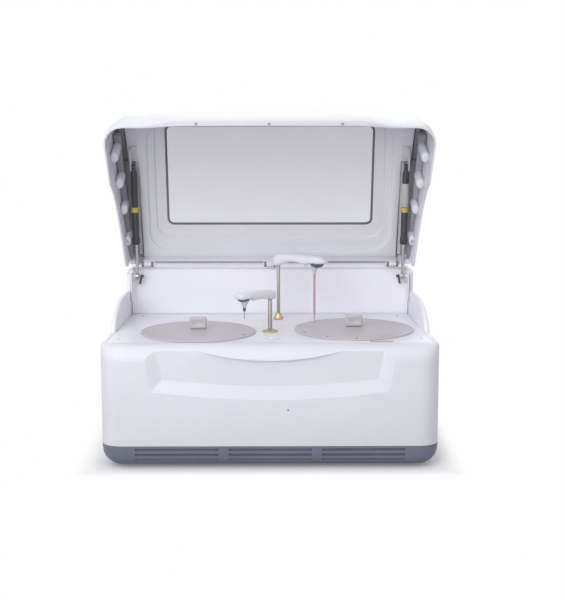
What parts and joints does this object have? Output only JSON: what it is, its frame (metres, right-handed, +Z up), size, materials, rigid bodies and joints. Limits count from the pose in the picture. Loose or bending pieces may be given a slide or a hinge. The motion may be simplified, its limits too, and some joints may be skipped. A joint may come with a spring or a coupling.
{
  "type": "benchtop chemistry analyzer",
  "caption": "Benchtop chemistry analyzer: white cabinet on a dark base, deep windowed lid held open by gas struts, round disc covers and pipetting arms on the deck.",
  "frame": {"origin": "on the bench, under the middle of the part's bounding box", "axes": "+X to the right seen from the front, -Y towards the operator, +Z up"},
  "size_m": [0.77, 0.56, 0.7899],
  "materials": {
    "white_cover": "moulded ABS, satin white with a cool cast",
    "grey_liner": "light grey moulded plastic",
    "base": "blue-grey moulded plastic",
    "smoked_cover": "smoked grey plastic",
    "smoked_window": "tinted see-through pane",
    "gasket": "dark grey rubber profile",
    "rubber_foot": "black rubber",
    "sheet_steel": "bent sheet steel",
    "steel_post": "polished steel",
    "steel_rod": "polished steel",
    "strut_black": "black enamel",
    "brass_sleeve": "dull brass",
    "black_plastic": "black plastic",
    "cast_alloy": "cast alloy",
    "circuit_board": "green board",
    "needle": "coated steel"
  },
  "bodies": {
    "cabinet": {"base_tray": "base", "chassis_plate": "sheet_steel", "foot_front_left": "rubber_foot", "foot_front_right": "rubber_foot", "foot_rear_left": "rubber_foot", "foot_rear_right": "rubber_foot", "front_cover": "white_cover", "left_side_cover": "white_cover", "right_side_cover": "white_cover", "work_deck": "white_cover", "back_wall": "white_cover", "rear_top_cover": "white_cover", "rear_panel": "sheet_steel", "power_inlet": "black_plastic", "fan_frame": "black_plastic", "short_arm_drive": "cast_alloy", "tall_arm_drive": "cast_alloy", "power_supply": "sheet_steel", "control_board": "circuit_board", "photometer": "cast_alloy", "syringe_pump": "cast_alloy", "hinge_base_left": "cast_alloy", "hinge_base_middle": "cast_alloy", "hinge_base_right": "cast_alloy", "strut_bracket_left": "strut_black", "strut_bracket_right": "strut_black", "sample_tub": "grey_liner", "sample_motor": "cast_alloy", "reaction_tub": "grey_liner", "reaction_motor": "cast_alloy"},
    "lid": {"lid_shell": "white_cover", "lid_liner": "grey_liner", "lid_gasket": "gasket", "lid_window": "smoked_window", "hinge_leaf_left": "cast_alloy", "hinge_leaf_middle": "cast_alloy", "hinge_leaf_right": "cast_alloy", "strut_stud_left": "strut_black", "strut_stud_right": "strut_black"},
    "strut_cylinder_left": {"strut_cylinder_left": "strut_black"},
    "strut_cylinder_right": {"strut_cylinder_right": "strut_black"},
    "strut_rod_left": {"strut_rod_left": "steel_rod"},
    "strut_rod_right": {"strut_rod_right": "steel_rod"},
    "sample_carousel": {"sample_carousel": "grey_liner"},
    "reaction_carousel": {"reaction_carousel": "grey_liner"},
    "sample_cover": {"sample_cover": "smoked_cover", "sample_knob": "smoked_cover"},
    "reaction_cover": {"reaction_cover": "smoked_cover", "reaction_knob": "smoked_cover"},
    "short_arm_sleeve": {"short_arm_sleeve": "brass_sleeve"},
    "short_arm": {"short_arm_post": "steel_post", "short_arm_housing": "white_cover", "short_arm_needle": "needle"},
    "tall_arm_sleeve": {"tall_arm_sleeve": "brass_sleeve"},
    "tall_arm": {"tall_arm_post": "steel_post", "tall_arm_housing": "white_cover", "tall_arm_needle": "needle"},
    "power_switch": {"power_switch": "black_plastic"},
    "fan_rotor": {"fan_rotor": "black_plastic"},
    "syringe_plunger": {"syringe_plunger": "steel_rod"}
  },
  "joints": [
    {"name": "lid_hinge", "type": "hinge", "parent": "cabinet", "child": "lid", "pos_m": [0, 0.148, 0.407], "axis": [1, 0, 0], "range_deg": [0, 74.1]},
    {"name": "strut_pivot_left", "type": "hinge", "parent": "lid", "child": "strut_cylinder_left", "pos_m": [-0.331, 0.08611, 0.65347], "axis": [1, 0, 0], "range_deg": [-4.2, 0.5]},
    {"name": "strut_stroke_left", "type": "slide", "parent": "strut_cylinder_left", "child": "strut_rod_left", "axis": [0, -0.192, 0.9814], "range_m": [-0.001, 0.034]},
    {"name": "strut_pivot_right", "type": "hinge", "parent": "lid", "child": "strut_cylinder_right", "pos_m": [0.331, 0.08611, 0.65347], "axis": [1, 0, 0], "range_deg": [-4.2, 0.5]},
    {"name": "strut_stroke_right", "type": "slide", "parent": "strut_cylinder_right", "child": "strut_rod_right", "axis": [0, -0.192, 0.9814], "range_m": [-0.001, 0.034]},
    {"name": "sample_spin", "type": "hinge", "parent": "cabinet", "child": "sample_carousel", "pos_m": [-0.1678, -0.0994, 0.2], "axis": [0, 0, 1], "continuous": true},
    {"name": "reaction_spin", "type": "hinge", "parent": "cabinet", "child": "reaction_carousel", "pos_m": [0.1977, -0.0702, 0.2], "axis": [0, 0, 1], "continuous": true},
    {"name": "sample_cover_lift", "type": "slide", "parent": "cabinet", "child": "sample_cover", "axis": [0, 0, -1], "range_m": [-0.018, 0]},
    {"name": "reaction_cover_lift", "type": "slide", "parent": "cabinet", "child": "reaction_cover", "axis": [0, 0, -1], "range_m": [-0.018, 0]},
    {"name": "short_arm_swing", "type": "hinge", "parent": "cabinet", "child": "short_arm_sleeve", "pos_m": [0, -0.094, 0.28], "axis": [0, 0, 1], "range_deg": [-20, 116.4]},
    {"name": "short_arm_lift", "type": "slide", "parent": "short_arm_sleeve", "child": "short_arm", "axis": [0, 0, -1], "range_m": [0, 0.047]},
    {"name": "tall_arm_swing", "type": "hinge", "parent": "cabinet", "child": "tall_arm_sleeve", "pos_m": [0.0205, 0.076, 0.28], "axis": [0, 0, -1], "range_deg": [-35, 75]},
    {"name": "tall_arm_lift", "type": "slide", "parent": "tall_arm_sleeve", "child": "tall_arm", "axis": [0, 0, -1], "range_m": [0, 0.02]},
    {"name": "power_switch_tilt", "type": "hinge", "parent": "cabinet", "child": "power_switch", "pos_m": [0.29, 0.2743, 0.11], "axis": [1, 0, 0], "range_deg": [-6, 6]},
    {"name": "fan_spin", "type": "hinge", "parent": "cabinet", "child": "fan_rotor", "pos_m": [-0.19, 0.26, 0.24], "axis": [0, 1, 0], "continuous": true},
    {"name": "syringe_stroke", "type": "slide", "parent": "cabinet", "child": "syringe_plunger", "axis": [0, 0, 1], "range_m": [0, 0.025]}
  ],
  "couplings": [
    {"joint": "strut_pivot_left", "follows": "lid_hinge", "ratio": -0.050238},
    {"joint": "strut_stroke_left", "follows": "lid_hinge", "m_per_rad": 0.024688},
    {"joint": "strut_pivot_right", "follows": "lid_hinge", "ratio": -0.050238},
    {"joint": "strut_stroke_right", "follows": "lid_hinge", "m_per_rad": 0.024688}
  ]
}
